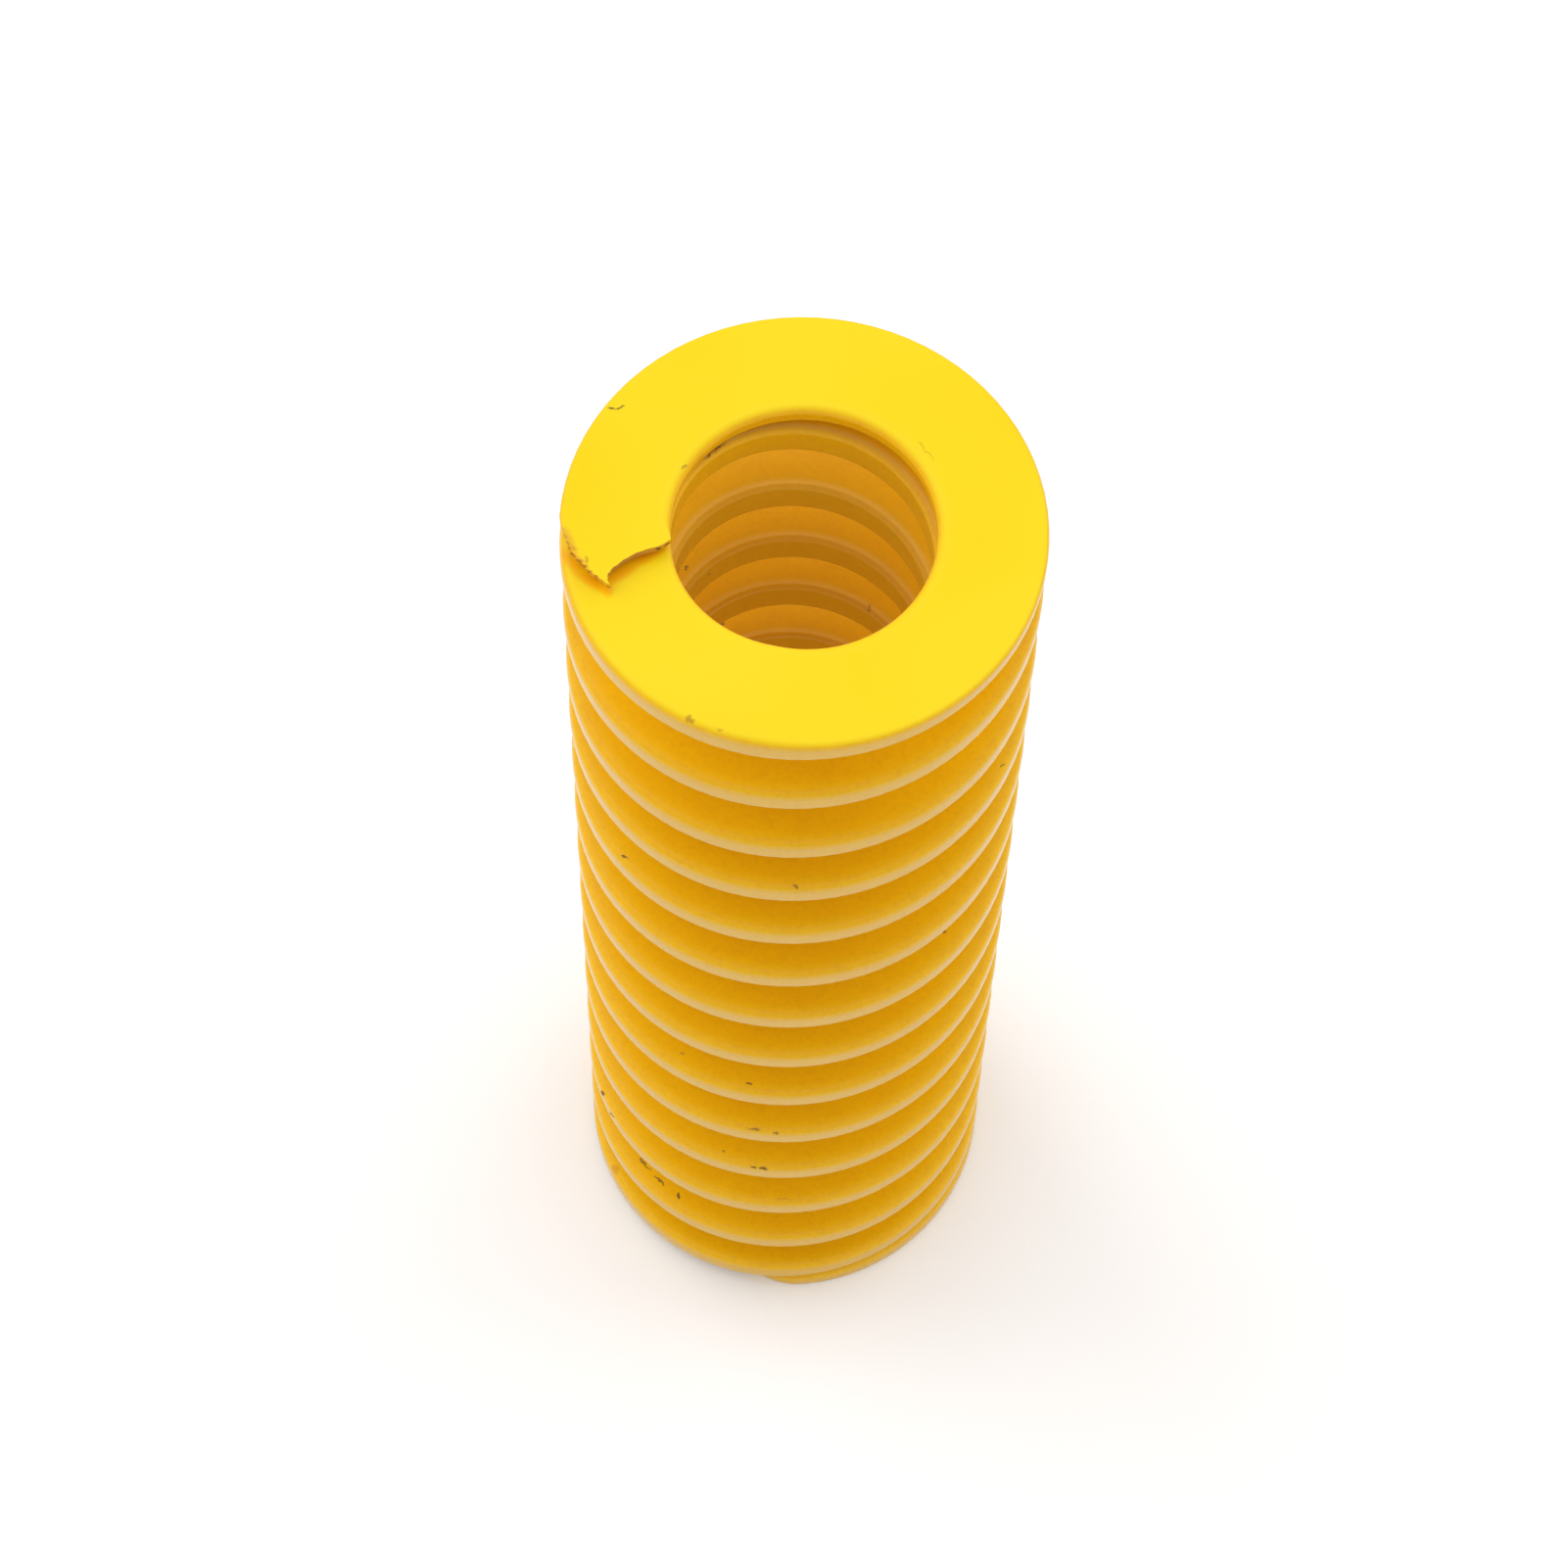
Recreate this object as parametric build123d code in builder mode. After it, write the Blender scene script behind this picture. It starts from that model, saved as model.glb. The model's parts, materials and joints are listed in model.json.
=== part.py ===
from build123d import *
from build123d.topology import SkipClean
import math
import os

# Die spring: one length of flat steel wire, coiled edgeways into a right-hand helix,
# with both end turns closed down and ground flat.
# Lengths are in millimetres, angles in degrees, and coil positions in turns from the bottom tip.
# The origin is the centre of the bottom ground face, and +Z runs up the spring's axis.

# Overall sizes
free_length = 80.0
outside_diameter = 25.0
bore_diameter = 13.6

# The wire's section: its long side lies across the coil, and its four corners are rolled round.
# Coiling has thickened it at the bore, upwards, in all but the end turns.
wire_thickness = 1.8
bore_thickening = 0.45
corner_radius = 0.5

# The coil, from the bottom tip up to the top tip
total_turns = 14.845
bottom_tip_angle = -105.0

# Each end turn lies almost on the next one, then opens out to the working pitch
closed_turns = 0.5
opening_turns = 0.6
coil_clearance = 0.25

# Each tip is bent a little way out of its turn, along a curve that levels off
tip_lift = 0.7
lift_turns = 0.3

# Where the thickening begins, just past the turn that the tip lies over, and where it is full
thickening_start = 1.05
thickening_end = 1.45

# What the grinding leaves of the wire at each tip
bottom_tip_thickness = 0.9
top_tip_thickness = 0.45

# The top tip wears down to a nose: the angles give how far its edge falls back on each side
nose_from_bore = 3.3
nose_at_bore_angle = 11.0
nose_at_rim_angle = 14.0

# The tool that trims the nose reaches this far past the wire on both sides, and past the tip
trim_margin = 1.5
trim_angle = 30.0

# Finishing: the coil is sized true inside and outside, and the ground faces' rims are deburred
sizing_allowance = 0.06
rim_radius = 0.25

# How the wire is described: in lengths of at most a quarter turn, with stations along the end turns
lengths_per_turn = 4
stations_per_length = 6

# Sizes worked out from those above
outside_radius = outside_diameter / 2
bore_radius = bore_diameter / 2
mean_radius = (outside_radius + bore_radius) / 2
wire_width = outside_radius - bore_radius
top_tip_angle = bottom_tip_angle + 360 * total_turns
half_thickness = wire_thickness / 2
quarter_angle = 360 / lengths_per_turn

# The pitch grows evenly while an end turn opens. One turn from the tip the wire has risen by its own
# thickness and the clearance, and the two ends with the turns between them make up the free length.
# The lift is counted apart, because it is over before the turn opens.
tip_rise = wire_thickness + coil_clearance - tip_lift
opened_share = (1 - closed_turns) ** 2 / (2 * opening_turns)
closed_equivalent = closed_turns + opening_turns / 2
total_rise = free_length - top_tip_thickness - bottom_tip_thickness + wire_thickness - 2 * tip_lift
working_pitch = (total_rise - 2 * closed_equivalent * tip_rise / (1 - opened_share)) / (
    total_turns - 2 * closed_equivalent / (1 - opened_share)
)
closed_pitch = (tip_rise - working_pitch * opened_share) / (1 - opened_share)
pitch_growth = (working_pitch - closed_pitch) / opening_turns


def opened_turns(turns):
    """How many of the opening turns lie between a tip and a place so many turns from it."""
    return min(opening_turns, max(0.0, turns - closed_turns))


def end_rise(turns):
    """Height gained after so many turns from a tip."""
    opened = opened_turns(turns)
    working = max(0.0, turns - closed_turns - opening_turns)
    unlifted = max(0.0, 1 - turns / lift_turns)
    climbed = closed_pitch * turns + pitch_growth * (opened**2 / 2 + opening_turns * working)
    return climbed + tip_lift * (1 - unlifted**2)


def end_pitch(turns):
    """Pitch of the wire so many turns from a tip."""
    unlifted = max(0.0, 1 - turns / lift_turns)
    return closed_pitch + pitch_growth * opened_turns(turns) + 2 * tip_lift / lift_turns * unlifted


def wire_plane(angle, height, pitch):
    """Plane across the wire, with x pointing away from the spring's axis and z along the wire."""
    around = math.radians(angle)
    outward = Vector(math.cos(around), math.sin(around), 0)
    along = Vector(-math.sin(around), math.cos(around), pitch / (2 * math.pi * mean_radius))
    return Plane(origin=outward * mean_radius + Vector(0, 0, height), x_dir=outward, z_dir=along)


def bottom_height(turns):
    """Height of the wire's middle so many turns from the bottom tip."""
    return bottom_tip_thickness - half_thickness + end_rise(turns)


def bottom_plane(turns):
    """Plane across the wire in the bottom end turns."""
    return wire_plane(bottom_tip_angle + 360 * turns, bottom_height(turns), end_pitch(turns))


def top_plane(turns_down):
    """Plane across the wire in the top end turns, counted down from the top tip."""
    height = free_length - top_tip_thickness + half_thickness - end_rise(turns_down)
    return wire_plane(top_tip_angle - 360 * turns_down, height, end_pitch(turns_down))


def wire_section(turns):
    """Section of the wire so many turns from a tip, a little wide on both sides for the sizing. Its y
    points down, so the thickening at the bore is on the side of negative y."""
    thickened = (turns - thickening_start) / (thickening_end - thickening_start)
    bore_side = -half_thickness - bore_thickening * min(1.0, max(0.0, thickened))
    reach = wire_width / 2 + sizing_allowance
    upper_edge = [(-reach, bore_side), (reach, -half_thickness)]
    lower_edge = [(reach, half_thickness), (-reach, half_thickness)]
    Polygon(*upper_edge, *lower_edge, align=None)
    fillet(vertices(), corner_radius)


def evenly(start, end, count):
    """Positions from start to end that divide the wire between them into equal lengths."""
    return [start + (end - start) * step / count for step in range(count + 1)]


def end_lengths(plane_at, start, end):
    """Short lengths of an end turn, each lofted through sections set square to the wire."""
    joints = evenly(start, end, math.ceil((end - start) * lengths_per_turn))
    lengths = []
    for first, last in zip(joints, joints[1:]):
        with BuildPart() as length:
            for turns in evenly(first, last, stations_per_length):
                with BuildSketch(plane_at(turns)):
                    wire_section(turns)
            loft()
        lengths.append(length.part)
    return lengths


def plan_point(radius, angle):
    """Point seen from above at a radius from the axis and an angle from +X."""
    return (radius * math.cos(math.radians(angle)), radius * math.sin(math.radians(angle)))


# The end turns, from each tip to where the section is full. The last of the top one is the nose.
nose_turns = (nose_at_rim_angle + trim_angle) / 360
bottom_end = end_lengths(bottom_plane, 0, thickening_end)
top_end = end_lengths(top_plane, nose_turns, thickening_end)

# One length of the working coils, a true helix from +X round. Each place it is set climbs on from the last.
working_turns = total_turns - 2 * thickening_end
working_lengths = math.ceil(working_turns * lengths_per_turn)
length_turns = working_turns / working_lengths
with BuildPart() as working_length:
    with BuildLine():
        Helix(pitch=working_pitch, height=working_pitch * length_turns, radius=mean_radius)
    with BuildSketch(wire_plane(0, 0, working_pitch)):
        wire_section(thickening_end)
    sweep(is_frenet=True)
climbs = []
for turns in evenly(thickening_end, total_turns - thickening_end, working_lengths)[:-1]:
    climbs.append(Location((0, 0, bottom_height(turns)), (0, 0, bottom_tip_angle + 360 * turns)))

# The nose, trimmed back from its point towards the bore and towards the rim
nose_radius = bore_radius + nose_from_bore
past_bore = bore_radius - trim_margin
past_rim = outside_radius + trim_margin
well_past_rim = past_rim + wire_width
past_tip_angle = top_tip_angle + trim_angle
trim_depth = 2 * wire_thickness
bore_slope = nose_at_bore_angle / nose_from_bore
rim_slope = nose_at_rim_angle / (outside_radius - nose_radius)
with BuildPart() as nose:
    for turns_down in evenly(0, nose_turns, stations_per_length):
        with BuildSketch(top_plane(turns_down)):
            wire_section(turns_down)
    loft()
    with BuildSketch(Plane.XY.offset(free_length - trim_depth)):
        with BuildLine():
            Polyline(
                plan_point(nose_radius, top_tip_angle),
                plan_point(past_rim, top_tip_angle - rim_slope * (past_rim - nose_radius)),
                plan_point(well_past_rim, top_tip_angle),
                plan_point(well_past_rim, past_tip_angle),
                plan_point(past_bore, past_tip_angle),
                plan_point(past_bore, top_tip_angle - bore_slope * (nose_radius - past_bore)),
                close=True,
            )
        make_face()
    extrude(amount=2 * trim_depth, mode=Mode.SUBTRACT)

# What the sizing and grinding leave: a true tube with rounded rims, in four quarters.
# The seams of the quarters and of the wire's lengths are kept, so no face wraps round the spring.
with SkipClean():
    with BuildPart() as envelope:
        for quarter in range(lengths_per_turn):
            with BuildSketch(Plane.XZ.rotated((0, 0, quarter_angle * (quarter + 1 / 2)))):
                with Locations((mean_radius, free_length / 2)):
                    RectangleRounded(wire_width, free_length, rim_radius)
            revolve(axis=Axis.Z, revolution_arc=quarter_angle, clean=False)

    with BuildPart() as spring:
        add([*bottom_end, *top_end, nose.part], clean=False)
        with Locations(*climbs):
            add(working_length.part, clean=False)
        add(envelope.part, mode=Mode.INTERSECT, clean=False)
spring.part.label = "spring"

os.makedirs("parts", exist_ok=True)
export_step(spring.part, "parts/spring.step")
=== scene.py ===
import json
import math

import bpy
import numpy as np
from mathutils import Euler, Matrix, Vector


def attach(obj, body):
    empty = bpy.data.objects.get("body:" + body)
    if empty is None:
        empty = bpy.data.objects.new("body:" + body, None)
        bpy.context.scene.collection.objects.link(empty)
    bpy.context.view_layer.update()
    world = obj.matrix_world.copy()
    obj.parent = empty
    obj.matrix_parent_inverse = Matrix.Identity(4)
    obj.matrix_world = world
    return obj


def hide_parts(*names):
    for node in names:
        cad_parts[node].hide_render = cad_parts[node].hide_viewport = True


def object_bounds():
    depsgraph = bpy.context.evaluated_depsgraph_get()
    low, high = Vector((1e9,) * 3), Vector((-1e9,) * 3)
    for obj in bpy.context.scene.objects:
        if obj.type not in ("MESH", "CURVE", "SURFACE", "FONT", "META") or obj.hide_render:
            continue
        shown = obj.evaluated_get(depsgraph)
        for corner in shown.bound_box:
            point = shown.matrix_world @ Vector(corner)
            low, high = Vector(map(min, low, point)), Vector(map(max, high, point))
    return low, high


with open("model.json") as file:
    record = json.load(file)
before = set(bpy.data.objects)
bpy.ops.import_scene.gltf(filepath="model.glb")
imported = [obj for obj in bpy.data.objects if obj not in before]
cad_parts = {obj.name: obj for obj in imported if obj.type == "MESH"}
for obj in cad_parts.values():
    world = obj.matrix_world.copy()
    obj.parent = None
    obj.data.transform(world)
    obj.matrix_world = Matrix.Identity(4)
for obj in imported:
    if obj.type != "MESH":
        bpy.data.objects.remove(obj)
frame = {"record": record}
cad_low, cad_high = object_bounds()
scene = bpy.context.scene

# ---------------------------------------------------------------------------
# The spring: one flat steel wire, coiled edgeways, closed and ground flat at both ends, and painted
# yellow. The ground tip at the top thins to a ragged nose. Sizes are in metres, angles in degrees,
# and places along the wire in turns from the bottom tip.
# ---------------------------------------------------------------------------

outside_radius = (cad_high.x - cad_low.x) / 2
free_length = cad_high.z - cad_low.z
bore_radius = next(m["dims"]["r_mm"] for m in frame["record"]["mounts"] if m["name"] == "bore") / 1000
mean_radius = (outside_radius + bore_radius) / 2
once_round = 2 * math.pi * mean_radius

# The wire: its corners are rolled round, and coiling has thickened it at the bore. Where it is ground,
# the corners are deburred rims instead, and along the nose they are torn almost sharp.
wire_thickness = 0.0018
bore_thickening = 0.00045
rolled_corner = 0.0005
rolled_bore_corner = 0.0003
ground_rim = 0.00025
ground_bore_rim = 0.00048
torn_rim = 0.00006

# The coil: each end turn lies almost on the next one, then opens out to the working pitch. Each tip is
# bent a little way out of its turn, along a curve that levels off.
total_turns = 14.845
bottom_tip_angle = -105.0
closed_turns = 0.5
opening_turns = 0.6
coil_clearance = 0.00025
tip_lift = 0.0007
lift_turns = 0.3
thickening_start = 1.05
thickening_end = 1.45
bottom_tip_thickness = 0.0009
top_tip_thickness = 0.00045

# How far each of the working coils has settled above or below the even pitch
settled_turns = (1.1, 2.1, 3.0, 4.0, 6.0, 10.0, 11.0, 12.0, 13.0, 13.8)
settled_heights = (0, -0.00036, -0.00018, 0, 0.00018, 0.00024, 0.00006, -0.00036, -0.00028, 0)

# One turn from a tip the wire has risen by its own thickness and the clearance. The pitch grows evenly
# while an end turn opens, and the two ends with the turns between them make up the free length. The
# tip's lift is counted apart, because it is over before the turn opens.
end_turns = closed_turns + opening_turns
tip_rise = wire_thickness + coil_clearance - tip_lift
opened_share = (1 - closed_turns) ** 2 / (2 * opening_turns)
closed_equivalent = closed_turns + opening_turns / 2
total_rise = free_length - top_tip_thickness - bottom_tip_thickness + wire_thickness - 2 * tip_lift
working_pitch = (total_rise - 2 * closed_equivalent * tip_rise / (1 - opened_share)) / (
    total_turns - 2 * closed_equivalent / (1 - opened_share)
)
closed_pitch = (tip_rise - working_pitch * opened_share) / (1 - opened_share)
pitch_growth = (working_pitch - closed_pitch) / opening_turns


def share_past(value, start, reach):
    """How far a value has come past the start, as a share of the reach, held between 0 and 1."""
    return np.clip((value - start) / reach, 0, 1)


def evenly_between(first_value, second_value, share):
    """A value that runs evenly from the first to the second as the share goes from 0 to 1."""
    return first_value + (second_value - first_value) * share


def rise_from_tip(turns):
    """Height gained so many turns from a tip: the closed pitch times the turns, plus half the growth in
    pitch times the square of the opening turns passed, plus the full gain times the turns after them,
    plus the tip's lift, which levels off as one less the square of the share of it still to come."""
    opening = np.clip(turns - closed_turns, 0, opening_turns)
    working = np.clip(turns - end_turns, 0, None)
    unlifted = 1 - share_past(turns, 0, lift_turns)
    climbed = closed_pitch * turns + pitch_growth * opening**2 / 2
    climbed = climbed + (working_pitch - closed_pitch) * working
    return climbed + tip_lift * (1 - unlifted**2)


def pitch_from_tip(turns):
    """Slope of the rise, in height a turn: the closed pitch, plus the growth times the opening turns
    passed, plus the slope of the tip's lift."""
    opening = np.clip(turns - closed_turns, 0, opening_turns)
    unlifted = 1 - share_past(turns, 0, lift_turns)
    return closed_pitch + pitch_growth * opening + 2 * tip_lift / lift_turns * unlifted


def wire_heights(turns):
    """Lowest and highest point of the wire before grinding: its middle, which each half of the spring
    counts from its own tip, less and plus half the thickness measured upright across the sloping wire."""
    from_top = total_turns - turns
    lower_half = turns < from_top
    middle = np.where(
        lower_half,
        bottom_tip_thickness - wire_thickness / 2 + rise_from_tip(turns),
        free_length - top_tip_thickness + wire_thickness / 2 - rise_from_tip(from_top),
    )
    middle = middle + np.interp(turns, settled_turns, settled_heights)
    slope = pitch_from_tip(np.where(lower_half, turns, from_top)) / once_round
    half = wire_thickness / 2 * np.sqrt(1 + slope**2)
    return middle - half, middle + half


def ground_corner(cut, rolled, rim):
    """Size of a corner once it is ground: the rolled corner's, going evenly over to the deburred rim's
    as the depth of the cut grows to the rolled corner's own height."""
    return evenly_between(rolled, rim, share_past(cut, 0, rolled))


# The nose in plan: how far out its bore-side edge and its rim-side edge stand at each angle
nose_bore_angles = (188.0, 189.2, 190.5, 191.1, 192.1, 193.5, 195.6, 196.8, 198.0, 199.3, 200.4)
nose_bore_radii = (
    0.00680, 0.00706, 0.00738, 0.00807, 0.00869, 0.00926,
    0.00995, 0.01022, 0.01036, 0.01040, 0.01036,
)
nose_rim_angles = (178.5, 181.3, 185.2, 189.8, 193.1, 195.5, 197.7, 199.5, 200.4)
nose_rim_radii = (0.01250, 0.01240, 0.01213, 0.01187, 0.01144, 0.01123, 0.01088, 0.01062, 0.01045)

# How the nose's edges are torn: the width at which they are torn in full, the degrees over which each
# edge's tearing and the top corners' sharpening set in, and how uneven they are
torn_width = 0.0008
bore_tearing = 4.0
rim_tearing = 6.0
sharpening = 8.0
bore_raggedness = 0.00006
rim_raggedness = 0.00010
rim_loss = 0.00004

# The bottom tip: its cut end is rounded over, and its start is worn thinner and back from the outside
tip_round = 0.00012
tip_wear = 0.0005
tip_setback = 0.0018
worn_turns = 0.06

# No corner takes up more than its share of the section, and a little of each side stays between two
most_of_width = 0.45
most_of_height = 0.5
least_side = 0.00004

# How finely the section and the wire are divided
corner_points = 8
side_points = 9
face_points = 15
stations_per_turn = 80
nose_stations = 90


def ragged(place, size, seed):
    """Small unevenness of a torn edge: five sine waves added up, each 2.1 times as fine as the one before
    and a third lower, with phases set by the seed, and the sum scaled to the size."""
    phases = np.random.default_rng(seed).uniform(0, 2 * math.pi, 5)
    waves = [np.sin(place * 2.1 ** (k + 1) * 1.7 + phase) / 1.5**k for k, phase in enumerate(phases)]
    return size * sum(waves) / 2


def round_section():
    """The section's outline once round from the outer side, as where each point stands: how far towards
    the outer side and towards the top its corner's centre is, and how far east and north the point lies
    from there, on a unit circle. It is four straight stretches with a quarter circle after each."""
    arc = np.radians(np.linspace(0, 90, corner_points))
    side = np.linspace(0, 1, side_points)[1:-1]
    face = np.linspace(1, 0, face_points)[1:-1]
    cosine, sine = np.cos(arc), np.sin(arc)
    ones, zeros = np.ones_like, np.zeros_like
    stretches = (
        (ones(side), side, ones(side), zeros(side)),
        (ones(arc), ones(arc), cosine, sine),
        (face, ones(face), zeros(face), ones(face)),
        (zeros(arc), ones(arc), -sine, cosine),
        (zeros(side), 1 - side, -ones(side), zeros(side)),
        (zeros(arc), zeros(arc), -cosine, -sine),
        (1 - face, zeros(face), zeros(face), -ones(face)),
        (ones(arc), zeros(arc), sine, -cosine),
    )
    return [np.concatenate(part) for part in zip(*stretches)]


# Stations along the wire: evenly spaced up to the nose, then closer together along it. At the bottom tip
# the first few draw the section in, which rounds the cut end over.
whole_turns = math.floor(total_turns)
top_tip = (nose_bore_angles[-1] - bottom_tip_angle) / 360 + whole_turns
nose_start = (nose_rim_angles[0] - bottom_tip_angle) / 360 + whole_turns
turning = np.radians([90.0, 60.0, 30.0])
rounding = tip_round * (1 - np.sin(turning)) / once_round
along_wire = np.linspace(tip_round / once_round, nose_start, round(nose_start * stations_per_turn))
along_nose = np.linspace(nose_start, top_tip, nose_stations)[1:]
turns = np.concatenate([rounding, along_wire, along_nose])
inset = np.concatenate([tip_round * (1 - np.cos(turning)), np.zeros(len(along_wire) + len(along_nose))])

# The limits of the section at each station. Inside and outside they are the bore and the outer wall,
# but for the torn nose and the worn bottom tip.
angle = np.radians(bottom_tip_angle + 360 * turns)
nose_angle = bottom_tip_angle + 360 * (turns - whole_turns)
nose_inner = np.interp(nose_angle, nose_bore_angles, nose_bore_radii)
nose_outer = np.interp(nose_angle, nose_rim_angles, nose_rim_radii)
tearing = share_past(nose_outer - nose_inner, 0, torn_width)
torn_inner = tearing * share_past(nose_angle, nose_bore_angles[0], bore_tearing)
torn_outer = tearing * share_past(nose_angle, nose_rim_angles[1], rim_tearing)
bore_unevenness = ragged(nose_angle, bore_raggedness, seed=3)
rim_unevenness = ragged(nose_angle, rim_raggedness, seed=5) - rim_loss
wear = (1 - share_past(turns, 0, worn_turns)) ** 2
inner = nose_inner + bore_unevenness * torn_inner + inset
outer = nose_outer + rim_unevenness * torn_outer - inset - tip_setback * wear

# Below and above they are the wire's own faces, cut off by the two ground planes
low, high = wire_heights(np.minimum(turns, total_turns))
from_tip = np.minimum(turns, total_turns - turns)
thickened = share_past(from_tip, thickening_start, thickening_end - thickening_start)
high_inside = high + bore_thickening * thickened
bottom = np.maximum(low, 0) + inset
top_outside = np.minimum(high, free_length) - inset - tip_wear * wear
top_inside = np.minimum(high_inside, free_length) - inset - tip_wear * wear

# The size of each of the four corners at each station: as rolled, as ground, or torn along the nose
in_nose = share_past(nose_angle, nose_rim_angles[0], sharpening)
bottom_outer_corner = ground_corner(-low, rolled_corner, ground_rim)
bottom_inner_corner = ground_corner(-low, rolled_bore_corner, ground_bore_rim)
top_outer_corner = ground_corner(high - free_length, rolled_corner, ground_rim)
top_outer_corner = evenly_between(top_outer_corner, torn_rim, in_nose)
top_inner_corner = ground_corner(high_inside - free_length, rolled_bore_corner, ground_bore_rim)
top_inner_corner = evenly_between(top_inner_corner, torn_rim, in_nose)

# The mesh: the section's outline at every station, with the sizes of its corners running evenly from
# one to the next round it, and a fan of faces over each cut end
outward, upward, east, north = round_section()
ring = len(outward)
width = (outer - inner)[:, None]
inner_corner = evenly_between(bottom_inner_corner[:, None], top_inner_corner[:, None], upward)
inner_corner = np.minimum(inner_corner, most_of_width * width)
outer_corner = evenly_between(bottom_outer_corner[:, None], top_outer_corner[:, None], upward)
outer_corner = np.minimum(outer_corner, most_of_width * width)
radius = evenly_between(inner[:, None] + inner_corner, outer[:, None] - outer_corner, outward)
radius = radius + evenly_between(inner_corner, outer_corner, outward) * east
base = bottom[:, None]
top = evenly_between(top_inside[:, None], top_outside[:, None], outward)
top_corner = evenly_between(top_inner_corner[:, None], top_outer_corner[:, None], outward)
top_corner = np.minimum(top_corner, most_of_height * (top - base))
bottom_corner = evenly_between(bottom_inner_corner[:, None], bottom_outer_corner[:, None], outward)
bottom_corner = np.minimum(bottom_corner, top - base - top_corner - least_side)
height = evenly_between(base + bottom_corner, top - top_corner, upward)
height = height + evenly_between(bottom_corner, top_corner, upward) * north
points = np.stack([radius * np.cos(angle)[:, None], radius * np.sin(angle)[:, None], height], axis=-1)
ends = np.stack([points[0].mean(axis=0), points[-1].mean(axis=0)])
vertices = np.concatenate([points.reshape(-1, 3), ends])

station, place = np.meshgrid(np.arange(len(turns) - 1), np.arange(ring), indexing="ij")
after = (place + 1) % ring
here, ahead = station * ring, (station + 1) * ring
quads = np.stack([here + place, ahead + place, ahead + after, here + after], axis=-1).reshape(-1, 4)
first = np.arange(ring)
second = (first + 1) % ring
last = (len(turns) - 1) * ring
bottom_end = np.stack([np.full(ring, len(vertices) - 2), first, second], axis=-1)
top_end = np.stack([np.full(ring, len(vertices) - 1), last + second, last + first], axis=-1)

wire_mesh = bpy.data.meshes.new("wire")
wire_mesh.from_pydata(vertices, [], quads.tolist() + bottom_end.tolist() + top_end.tolist())
wire_mesh.shade_smooth()
spring = bpy.data.objects.new("spring_wire", wire_mesh)
scene.collection.objects.link(spring)


def keep_on_points(name, values):
    """Store one value for each point of the wire, with none at the middles of the two cut ends."""
    kept = wire_mesh.attributes.new(name, "FLOAT", "POINT")
    kept.data.foreach_set("value", np.append(values.ravel(), [0, 0]).astype(np.float32))


# What the paint needs to know of each point: whether it belongs to the crown, which faces up at the very
# top, whether it lies on the outer wall, which gets a painted reflection, or where the upper face turns
# into a corner, where a painted highlight line goes, how near the bore it lies, for painted shade deeper
# in the bore, and how far it lies on each of the nose's torn edges. The depths are measured down from the
# top.
crown_full_depth = 0.0009
crown_gone_depth = 0.0014
crown_tilt = 0.6
bore_side_depth = 0.006
on_top = upward == 1
on_outer_side = outward == 1
on_bore_side = outward == 0
facing_out = on_outer_side & (east > 0.9)
facing_up = on_top & (north > 0.99)
rim_edge = on_outer_side & (east > -0.01) & (north > -0.5)
bore_edge = on_bore_side & (east < -0.5)
every_station = np.ones((len(turns), 1))
near_top = share_past(height, free_length - crown_gone_depth, crown_gone_depth - crown_full_depth)
below_top = share_past(free_length - height, 0, bore_side_depth)
keep_on_points("crown", near_top * on_top * share_past(north, crown_tilt, 1 - crown_tilt))
keep_on_points("painted_wall_reflection", every_station * facing_out)
keep_on_points("painted_outer_highlight", every_station * (on_outer_side & facing_up))
keep_on_points("painted_bore_highlight", every_station * (on_bore_side & facing_up))
keep_on_points("bore_side", below_top * (1 - outward) ** 3)
keep_on_points("torn_rim_side", rim_edge * torn_outer[:, None])
keep_on_points("torn_and_shaded_bore_side", bore_edge * torn_inner[:, None])

# The paint: a glossy yellow coat with faint orange mottling and a slight orange peel
paint = bpy.data.materials.new("yellow_paint")
paint.use_nodes = True
nodes = paint.node_tree.nodes
links = paint.node_tree.links
shader = nodes["Principled BSDF"]
shader.inputs["IOR"].default_value = 1.46
wire_mesh.materials.append(paint)
place_on_wire = nodes.new("ShaderNodeTexCoord").outputs["Object"]


def noise(scale, detail, roughness, distortion=0.0):
    """Noise in the wire's own coordinates: its scale is in waves a metre."""
    node = nodes.new("ShaderNodeTexNoise")
    node.inputs["Scale"].default_value = scale
    node.inputs["Detail"].default_value = detail
    node.inputs["Roughness"].default_value = roughness
    node.inputs["Distortion"].default_value = distortion
    links.new(place_on_wire, node.inputs["Vector"])
    return node.outputs["Fac"]


def ramp(value, low_end, high_end):
    """The value taken evenly from 0 at the low end to 1 at the high end, and held there."""
    node = nodes.new("ShaderNodeMapRange")
    node.inputs["From Min"].default_value = low_end
    node.inputs["From Max"].default_value = high_end
    links.new(value, node.inputs["Value"])
    return node.outputs["Result"]


def combined(operation, first_value, second_value):
    """Two values put together by one step of arithmetic."""
    node = nodes.new("ShaderNodeMath")
    node.operation = operation
    for socket, value in zip(node.inputs, (first_value, second_value)):
        if isinstance(value, float):
            socket.default_value = value
        else:
            links.new(value, socket)
    return node.outputs["Value"]


def coloured(below, share, colour):
    """The colour below, going evenly over to another one as the share goes from 0 to 1."""
    node = nodes.new("ShaderNodeMix")
    node.data_type = "RGBA"
    links.new(share, node.inputs["Factor"])
    if isinstance(below, tuple):
        node.inputs["A"].default_value = below
    else:
        links.new(below, node.inputs["A"])
    node.inputs["B"].default_value = colour
    return node.outputs["Result"]


def kept_on_points(name):
    """One of the values kept on the wire's points."""
    node = nodes.new("ShaderNodeAttribute")
    node.attribute_name = name
    return node.outputs["Fac"]


def with_coats(tone, coats):
    """The tone with each coat laid over it in turn: what shows the coat, how strongly, and its colour."""
    for shown_by, strength, colour in coats:
        tone = coloured(tone, combined("MULTIPLY", shown_by, strength), colour)
    return tone
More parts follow.
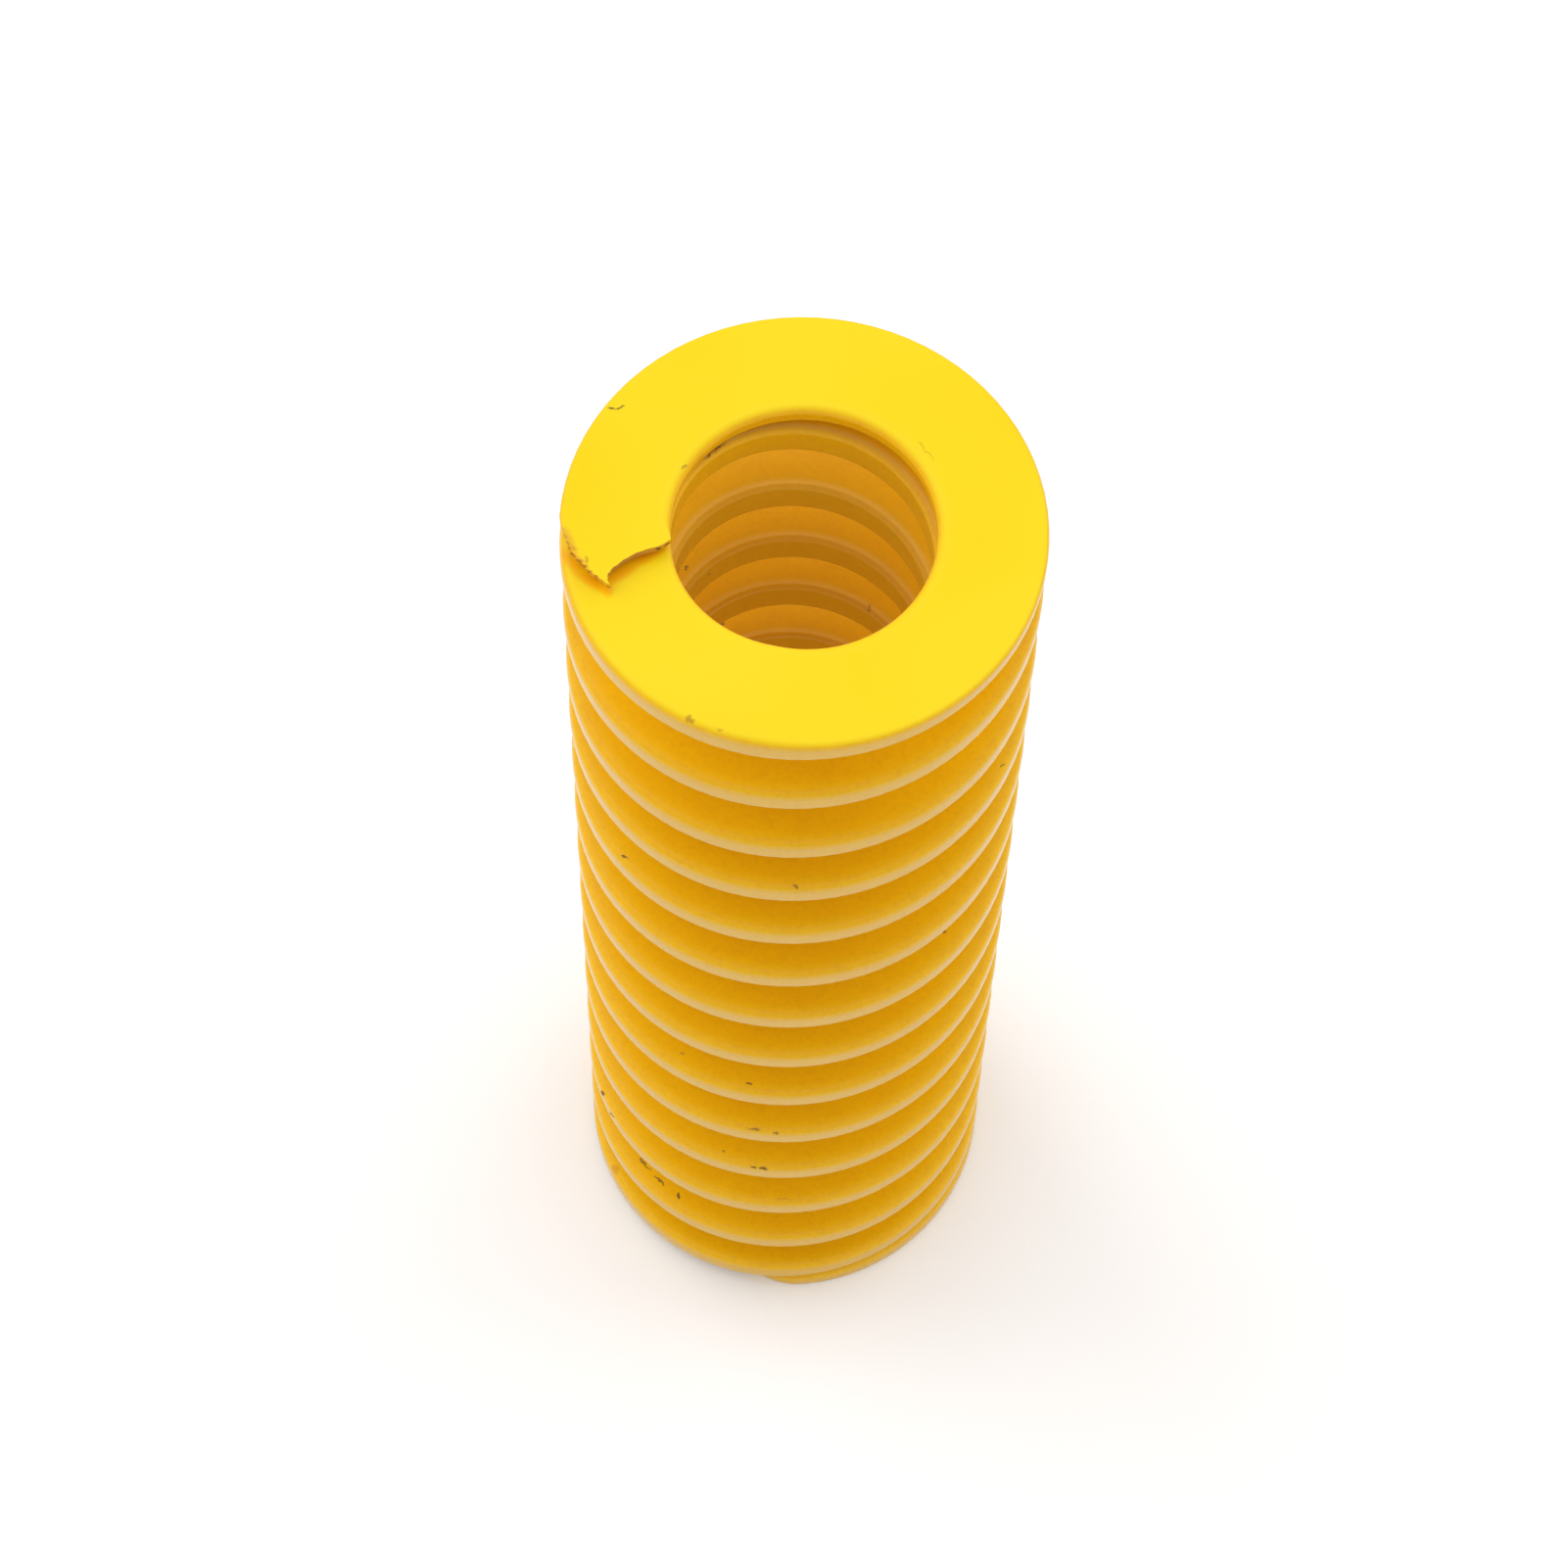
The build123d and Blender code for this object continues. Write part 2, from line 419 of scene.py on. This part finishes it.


# The coils are an orange yellow, finely mottled. Painted light and shade lie over it: a pale painted
# reflection on the outer wall, painted highlight lines where the upper face turns into a corner, painted
# shade darkening the bore deeper down, and a clearer and lighter yellow on the top face, painted as the
# fully lit top above the coils
clouds = ramp(noise(140.0, 3.0, 0.5), 0.35, 0.75)
mottle = ramp(noise(900.0, 4.0, 0.65, 0.4), 0.42, 0.72)
grain = ramp(noise(3200.0, 2.0, 0.6), 0.45, 0.72)
paleness = ramp(noise(70.0, 1.0, 0.5), 0.38, 0.62)
crown = kept_on_points("crown")
tone = with_coats((0.96, 0.545, 0.004, 1), (
    (clouds, 0.30, (0.96, 0.49, 0.004, 1)),
    (mottle, 0.28, (0.88, 0.43, 0.004, 1)),
    (grain, 0.26, (0.74, 0.37, 0.008, 1)),
    # painted reflection: the outer wall paler and creamier, as it mirrors the white floor
    (kept_on_points("painted_wall_reflection"), 0.20, (0.80, 0.50, 0.10, 1)),
    # painted highlight: a pale line where the upper face turns into the outer corner
    (kept_on_points("painted_outer_highlight"), 0.20, (0.95, 0.66, 0.03, 1)),
    # painted shade: duller and darker deeper down the bore
    (kept_on_points("bore_side"), 0.45, (0.62, 0.37, 0.03, 1)),
    # painted highlight: a pale line where the upper face turns into the bore-side corner
    (kept_on_points("painted_bore_highlight"), 0.40, (0.95, 0.72, 0.22, 1)),
    # painted light: the top face lighter and clearer, as it lies fully lit above the shaded coils
    (crown, 0.90, (0.94, 0.67, 0.001, 1)),
    (combined("MULTIPLY", crown, paleness), 0.55, (0.95, 0.72, 0.014, 1)),
))

# The mark group: how far a place lies inside a long thin spot, given the spot's middle, the way it runs,
# and half its length and width. It is 1 at the middle and falls to 0 at the spot's edge.
mark_group = bpy.data.node_groups.new("mark", "ShaderNodeTree")
for name, socket_kind in (
    ("Place", "NodeSocketVector"),
    ("Middle", "NodeSocketVector"),
    ("Way", "NodeSocketVector"),
    ("Half length", "NodeSocketFloat"),
    ("Half width", "NodeSocketFloat"),
):
    mark_group.interface.new_socket(name, in_out="INPUT", socket_type=socket_kind)
mark_group.interface.new_socket("Mask", in_out="OUTPUT", socket_type="NodeSocketFloat")
given = mark_group.nodes.new("NodeGroupInput").outputs
wanted = mark_group.nodes.new("NodeGroupOutput").inputs


def group_vector(operation, *values):
    """One step of vector arithmetic inside the mark group."""
    node = mark_group.nodes.new("ShaderNodeVectorMath")
    node.operation = operation
    for socket, value in zip(node.inputs, values):
        mark_group.links.new(value, socket)
    return node.outputs["Value"] if operation == "DOT_PRODUCT" else node.outputs["Vector"]


def group_value(operation, *values):
    """One step of arithmetic inside the mark group."""
    node = mark_group.nodes.new("ShaderNodeMath")
    node.operation = operation
    for socket, value in zip(node.inputs, values):
        if isinstance(value, float):
            socket.default_value = value
        else:
            mark_group.links.new(value, socket)
    return node.outputs["Value"]


# The offset's square, less the square of its part along the way, is the square of its part across it.
# The two parts, as shares of the half length and half width, make the distance out to the spot's edge.
offset = group_vector("SUBTRACT", given["Place"], given["Middle"])
offset_squared = group_vector("DOT_PRODUCT", offset, offset)
lengthways = group_vector("DOT_PRODUCT", offset, given["Way"])
lengthways_squared = group_value("MULTIPLY", lengthways, lengthways)
sideways_squared = group_value("SUBTRACT", offset_squared, lengthways_squared)
sideways = group_value("SQRT", group_value("MAXIMUM", sideways_squared, 0.0))
length_share = group_value("DIVIDE", lengthways, given["Half length"])
width_share = group_value("DIVIDE", sideways, given["Half width"])
width_squared = group_value("POWER", width_share, 2.0)
length_squared = group_value("POWER", length_share, 2.0)
spread = group_value("ADD", width_squared, length_squared)
inside = group_value("MAXIMUM", group_value("SUBTRACT", 1.0, spread), 0.0)
mark_group.links.new(inside, wanted["Mask"])

# Where the ragged marks are looked up: the place on the wire, shifted by noise by up to 0.2 mm each way
shift_range = 0.0004
shift = nodes.new("ShaderNodeTexNoise")
shift.inputs["Scale"].default_value = 2600.0
shift.inputs["Detail"].default_value = 2.0
links.new(place_on_wire, shift.inputs["Vector"])
centred = nodes.new("ShaderNodeVectorMath")
centred.operation = "SUBTRACT"
centred.inputs[1].default_value = (0.5, 0.5, 0.5)
links.new(shift.outputs["Color"], centred.inputs[0])
shifted = nodes.new("ShaderNodeVectorMath")
shifted.operation = "MULTIPLY_ADD"
shifted.inputs[1].default_value = (shift_range, shift_range, shift_range)
links.new(centred.outputs["Vector"], shifted.inputs[0])
links.new(place_on_wire, shifted.inputs[2])
shifted_place = shifted.outputs["Vector"]

# A spot this near the bore or the outer wall is on it
wall_reach = 0.0001


def marks_at(looked_up, full_at, spots):
    """How strongly any of the spots marks a place, looked up at the place itself or at the shifted one.
    Each spot is its angle round the axis, its radius and height in millimetres, which way it runs (a lean
    out of the level direction round the axis, outwards for a spot on a face and upwards for one on a
    wall), its half length and width in millimetres, and its strength. It is full where its mask has come
    to full_at."""
    marked = None
    for at, out, up, lean, half_length, half_width, strength in spots:
        at, lean = math.radians(at), math.radians(lean)
        radius_there = out / 1000
        round_axis = Vector((-math.sin(at), math.cos(at), 0))
        outwards = Vector((math.cos(at), math.sin(at), 0))
        on_wall = min(abs(radius_there - outside_radius), abs(radius_there - bore_radius)) < wall_reach
        across = Vector((0, 0, 1)) if on_wall else outwards
        spot = nodes.new("ShaderNodeGroup")
        spot.node_tree = mark_group
        links.new(looked_up, spot.inputs["Place"])
        spot.inputs["Middle"].default_value = outwards * radius_there + Vector((0, 0, up / 1000))
        spot.inputs["Way"].default_value = round_axis * math.cos(lean) + across * math.sin(lean)
        spot.inputs["Half length"].default_value = half_length / 1000
        spot.inputs["Half width"].default_value = half_width / 1000
        mask = combined("MULTIPLY", ramp(spot.outputs["Mask"], 0.0, full_at), strength)
        marked = mask if marked is None else combined("MAXIMUM", marked, mask)
    return marked


# A soft orange glow beside the nose, painted light for the light thrown back between the nose and the
# coil under it, then brown smudges, and dark chips
painted_glow = marks_at(place_on_wire, 1.0, (
    (190.5, 8.1, 79.15, 65.0, 1.7, 0.50, 0.75),
    (195.5, 9.5, 79.2, 65.0, 1.5, 0.50, 0.75),
    (199.8, 10.5, 79.4, 0.0, 0.6, 0.40, 0.75),
    (195.8, 11.2, 79.3, -40.0, 1.5, 0.40, 0.75),
    (189.0, 12.0, 79.2, -30.0, 1.9, 0.40, 0.70),
))
smudges = marks_at(shifted_place, 0.8, (
    (244.0, 12.23, 79.78, 0.0, 0.36, 0.22, 0.65),
    (251.5, 12.16, 79.89, 0.0, 0.22, 0.13, 0.40),
    (192.0, 11.20, 80.0, 0.0, 0.35, 0.09, 0.5),
    (-152.0, 12.28, 2.3, 0.0, 0.5, 0.25, 0.35),
    (-31.4, 12.5, 27.5, 0.0, 0.35, 0.14, 0.40),
    (134.0, 7.08, 78.3, 0.0, 1.20, 0.20, 0.60),
    (38.0, 7.70, 80.0, 0.0, 0.90, 0.10, 0.35),
))
chips = marks_at(shifted_place, 0.6, (
    (-139.2, 12.12, 56.1, 0.0, 0.20, 0.10, 0.75),
    (-89.2, 12.25, 62.65, 30.0, 0.17, 0.09, 0.6),
    (-39.9, 11.30, 45.9, 20.0, 0.20, 0.10, 0.65),
    (-100.3, 11.87, 32.9, 0.0, 0.20, 0.11, 0.7),
    (-122.1, 11.60, 32.6, 0.0, 0.22, 0.11, 0.4),
    (-98.6, 12.32, 26.8, 0.0, 0.62, 0.08, 0.6),
    (-92.2, 12.39, 26.8, 0.0, 0.22, 0.11, 0.85),
    (-96.9, 12.37, 20.7, 0.0, 0.68, 0.11, 0.85),
    (-107.7, 11.90, 20.7, 0.0, 0.18, 0.11, 0.5),
    (-90.6, 12.08, 14.9, 0.0, 0.60, 0.10, 0.35),
    (-156.7, 12.45, 13.4, 60.0, 0.42, 0.14, 0.8),
    (-150.2, 12.50, 13.2, 50.0, 0.62, 0.12, 0.8),
    (-139.9, 11.53, 8.05, 0.0, 0.85, 0.085, 0.65),
    (-131.8, 11.58, 8.15, 0.0, 0.75, 0.085, 0.75),
    (-124.0, 11.65, 8.27, 60.0, 0.24, 0.11, 0.8),
    (-25.4, 12.21, 63.65, 60.0, 0.22, 0.10, 0.75),
    (146.9, 12.00, 80.0, 65.0, 0.32, 0.085, 0.8),
    (145.5, 11.72, 80.0, 20.0, 0.26, 0.085, 0.75),
    (152.2, 7.05, 79.93, 0.0, 0.20, 0.10, 0.5),
    (137.0, 7.02, 78.33, 0.0, 0.35, 0.10, 0.7),
    (130.3, 7.12, 78.3, 0.0, 0.26, 0.09, 0.6),
    (189.2, 7.05, 79.75, 60.0, 0.24, 0.12, 0.8),
    (190.7, 7.49, 79.75, 60.0, 0.24, 0.12, 0.85),
    (200.2, 10.45, 79.7, 60.0, 0.20, 0.12, 0.6),
    (57.7, 7.04, 59.7, 60.0, 0.50, 0.09, 0.65),
    (144.9, 7.69, 66.75, 0.0, 0.22, 0.12, 0.6),
    (137.7, 6.85, 65.8, 0.0, 0.24, 0.12, 0.5),
    (122.2, 8.45, 54.85, 0.0, 0.26, 0.15, 0.6),
))

# The last coats: the painted orange glow, the nose's torn edge on the bore side, browned partly as bare
# torn steel and partly as painted shadow under its ledge, the smudges, its torn edge on the rim side with
# a broken brown line along it, and the chips
dashes = ramp(noise(1400.0, 2.0, 0.7, 1.0), 0.40, 0.56)
torn_and_shaded_bore_side = kept_on_points("torn_and_shaded_bore_side")
torn_rim_side = kept_on_points("torn_rim_side")
tone = with_coats(tone, (
    # painted light: the orange glow beside the nose
    (painted_glow, 1.0, (0.95, 0.36, 0.002, 1)),
    # partly bare torn steel, partly painted shadow under the nose's ledge
    (torn_and_shaded_bore_side, 0.80, (0.50, 0.20, 0.05, 1)),
    (smudges, 1.0, (0.46, 0.17, 0.02, 1)),
    (torn_rim_side, 0.55, (0.88, 0.36, 0.005, 1)),
    (combined("MULTIPLY", torn_rim_side, dashes), 0.70, (0.50, 0.17, 0.01, 1)),
    (chips, 1.0, (0.07, 0.035, 0.012, 1)),
))
links.new(tone, shader.inputs["Base Color"])

# The coat is glossy, but not where it is torn or chipped
glossy_roughness = 0.22
torn_roughness = 0.8
dulled = combined("MAXIMUM", combined("MAXIMUM", torn_rim_side, torn_and_shaded_bore_side), chips)
gloss = nodes.new("ShaderNodeMapRange")
gloss.inputs["To Min"].default_value = glossy_roughness
gloss.inputs["To Max"].default_value = torn_roughness
links.new(dulled, gloss.inputs["Value"])
links.new(gloss.outputs["Result"], shader.inputs["Roughness"])

# The orange peel, fine and broad
relief = combined("ADD", combined("MULTIPLY", noise(1300.0, 2.0, 0.5), 0.6), noise(260.0, 2.0, 0.5))
bump = nodes.new("ShaderNodeBump")
bump.inputs["Strength"].default_value = 0.25
bump.inputs["Distance"].default_value = 0.00003
links.new(relief, bump.inputs["Height"])
links.new(bump.outputs["Normal"], shader.inputs["Normal"])

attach(spring, "root")
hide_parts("spring")

# ---------------------------------------------------------------------------
# The floor: a plain white sheet that the spring stands on. It lies a hair below the ground face, so
# that the two surfaces don't coincide.
# ---------------------------------------------------------------------------

floor_reach = 3.0
floor_height = -0.00002
corners = [(-floor_reach, -floor_reach), (floor_reach, -floor_reach)]
corners += [(floor_reach, floor_reach), (-floor_reach, floor_reach)]
floor_mesh = bpy.data.meshes.new("floor")
floor_mesh.from_pydata([(x, y, floor_height) for x, y in corners], [], [(0, 1, 2, 3)])
floor = bpy.data.objects.new("floor", floor_mesh)
scene.collection.objects.link(floor)

# It looks white, straight or mirrored in the paint, but throws less light than that onto the spring
seen_white = 0.99
thrown_white = 0.55
lift_to_white = 0.05
white = bpy.data.materials.new("white_sheet")
white.use_nodes = True
sheet_nodes = white.node_tree.nodes
sheet_links = white.node_tree.links
seen = sheet_nodes.new("ShaderNodeLightPath").outputs
either = sheet_nodes.new("ShaderNodeMath")
either.operation = "MAXIMUM"
sheet_links.new(seen["Is Camera Ray"], either.inputs[0])
sheet_links.new(seen["Is Glossy Ray"], either.inputs[1])
whiteness = sheet_nodes.new("ShaderNodeMix")
whiteness.data_type = "RGBA"
whiteness.inputs["A"].default_value = (thrown_white, thrown_white, thrown_white, 1)
whiteness.inputs["B"].default_value = (seen_white, seen_white, seen_white, 1)
sheet_links.new(either.outputs["Value"], whiteness.inputs["Factor"])
sheet = sheet_nodes["Principled BSDF"]
sheet_links.new(whiteness.outputs["Result"], sheet.inputs["Base Color"])
glow = sheet_nodes.new("ShaderNodeMath")
glow.operation = "MULTIPLY"
glow.inputs[1].default_value = lift_to_white
sheet_links.new(seen["Is Camera Ray"], glow.inputs[0])
sheet.inputs["Emission Color"].default_value = (1, 1, 1, 1)
sheet_links.new(glow.outputs["Value"], sheet.inputs["Emission Strength"])
sheet.inputs["Roughness"].default_value = 0.9
sheet.inputs["Specular IOR Level"].default_value = 0.0
floor_mesh.materials.append(white)

# ---------------------------------------------------------------------------
# The studio: a pale dome that mirrors only faintly in the paint, and three broad soft lamps: one on
# either side, set a little behind the spring, and a weak one nearly overhead.
# ---------------------------------------------------------------------------

dome_strength = 0.80
mirrored_dome = 0.16
world = bpy.data.worlds.new("studio")
scene.world = world
world.use_nodes = True
sky_nodes = world.node_tree.nodes
sky_path = sky_nodes.new("ShaderNodeLightPath")
brightness = sky_nodes.new("ShaderNodeMapRange")
brightness.inputs["To Min"].default_value = dome_strength
brightness.inputs["To Max"].default_value = mirrored_dome
world.node_tree.links.new(sky_path.outputs["Is Glossy Ray"], brightness.inputs["Value"])
sky = sky_nodes["Background"]
sky.inputs["Color"].default_value = (1, 1, 1, 1)
world.node_tree.links.new(brightness.outputs["Result"], sky.inputs["Strength"])

# Each lamp's strength, and how far it leans from upright: backwards, then to the side
lamp_breadth = 50
lamps = (
    ("left_lamp", 0.80, -24, -50),
    ("right_lamp", 0.56, -24, 50),
    ("top_lamp", 0.25, -6, -11),
)
for name, energy, lean_back, lean_aside in lamps:
    lamp_data = bpy.data.lights.new(name, "SUN")
    lamp_data.energy = energy
    lamp_data.angle = math.radians(lamp_breadth)
    lamp = bpy.data.objects.new(name, lamp_data)
    lamp.rotation_euler = Euler((math.radians(lean_back), math.radians(lean_aside), 0))
    lamp.visible_glossy = False
    scene.collection.objects.link(lamp)

# ---------------------------------------------------------------------------
# The camera: a long lens above and in front of the spring, looking steeply down at its top end, with
# the whole spring in view.
# ---------------------------------------------------------------------------

camera_data = bpy.data.cameras.new("camera")
camera_data.lens = 112.17
camera_data.sensor_width = 36.0
camera = bpy.data.objects.new("camera", camera_data)
camera.location = (0.0, -0.11787, 0.29907)
camera.rotation_euler = Euler(map(math.radians, (25.26, -0.702, 1.806)))
scene.collection.objects.link(camera)
scene.camera = camera

scene.view_settings.view_transform = "Standard"
